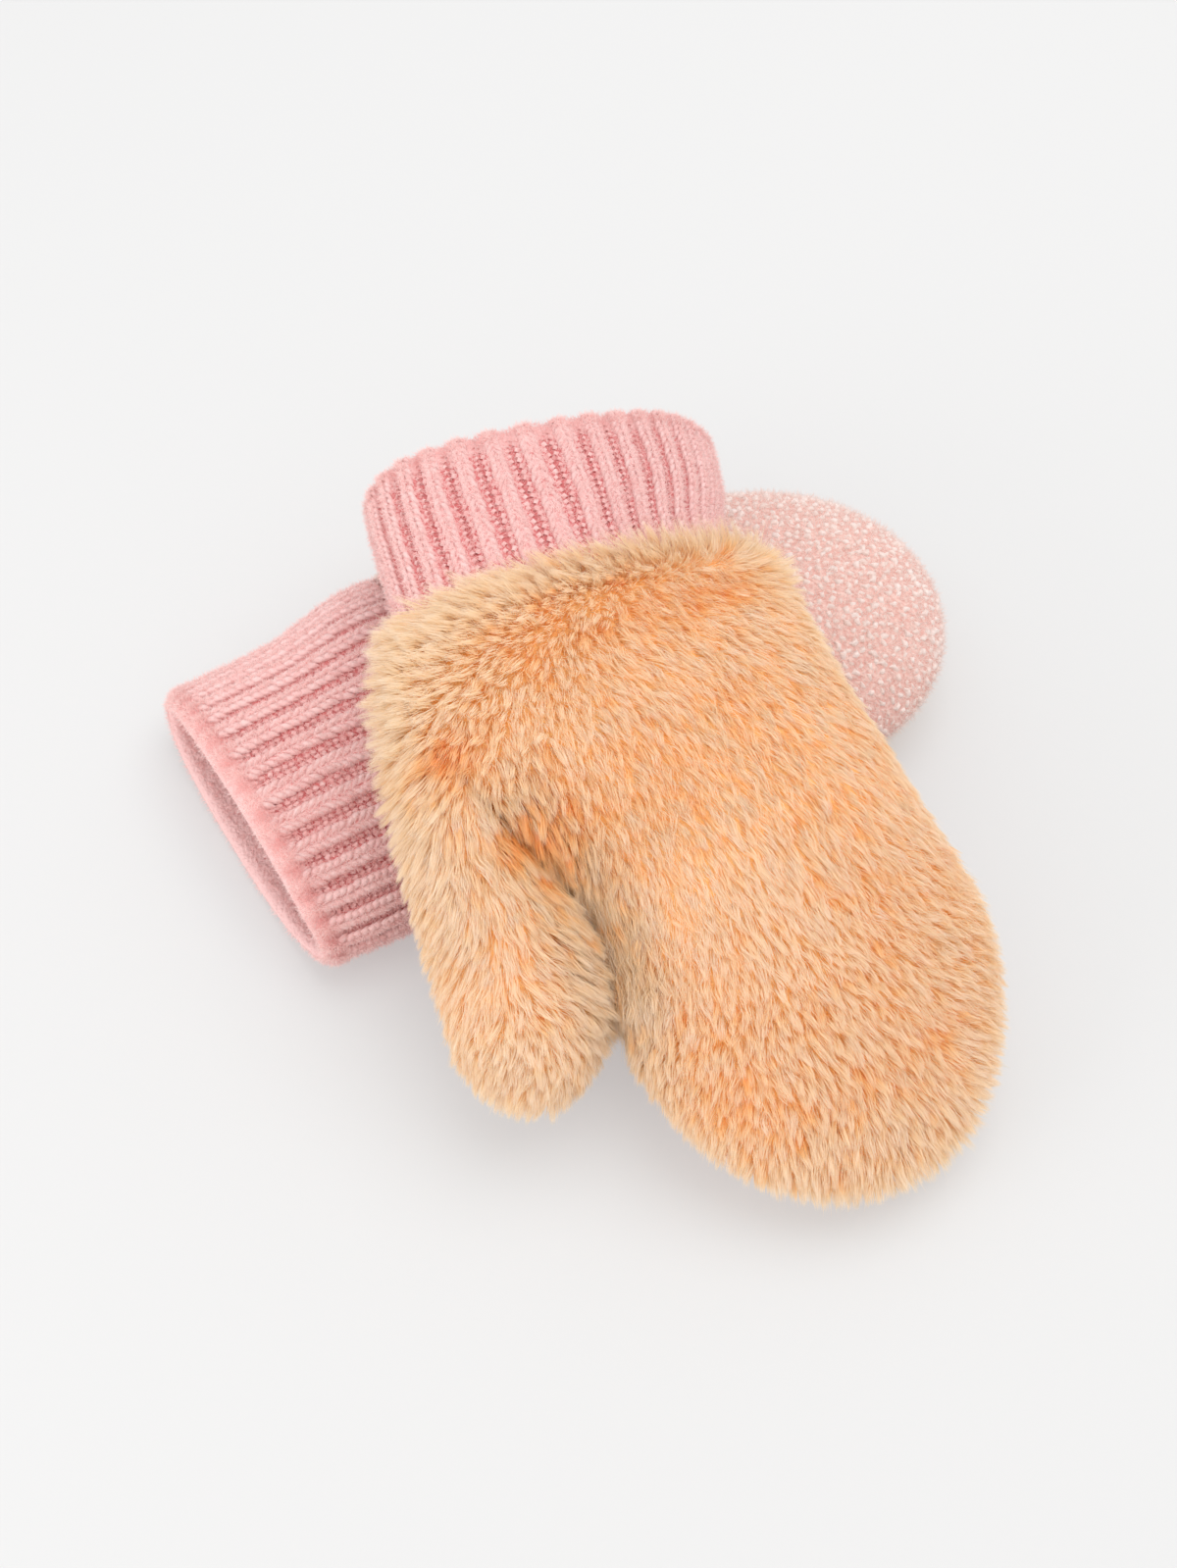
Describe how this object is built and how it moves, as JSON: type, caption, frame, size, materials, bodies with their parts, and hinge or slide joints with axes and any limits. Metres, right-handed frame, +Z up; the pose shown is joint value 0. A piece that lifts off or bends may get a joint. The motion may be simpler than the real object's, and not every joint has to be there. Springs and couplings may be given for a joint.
{
  "type": "pair of mittens",
  "caption": "Toddler's mittens with plush palms, boucle backs and open ribbed cuffs, lying crossed, palm up over palm down.",
  "frame": {"origin": "on the surface that the mittens lie on, under the middle of the pair's bounding box", "axes": "+Z up from that surface, -Y the way the fingers of the upper mitten mostly point, +X the way those of the lower one mostly point"},
  "size_m": [0.1698, 0.1657, 0.0663],
  "materials": {
    "plush": "apricot plush, pile about 8 mm",
    "boucle": "pale pink boucle knit with small loops",
    "rib_knit": "pink fuzzy rib knit"
  },
  "bodies": {
    "root": {"palm_left": "plush", "back_left": "boucle", "cuff_left": "rib_knit", "palm_right": "plush", "back_right": "boucle", "cuff_right": "rib_knit"}
  },
  "joints": []
}
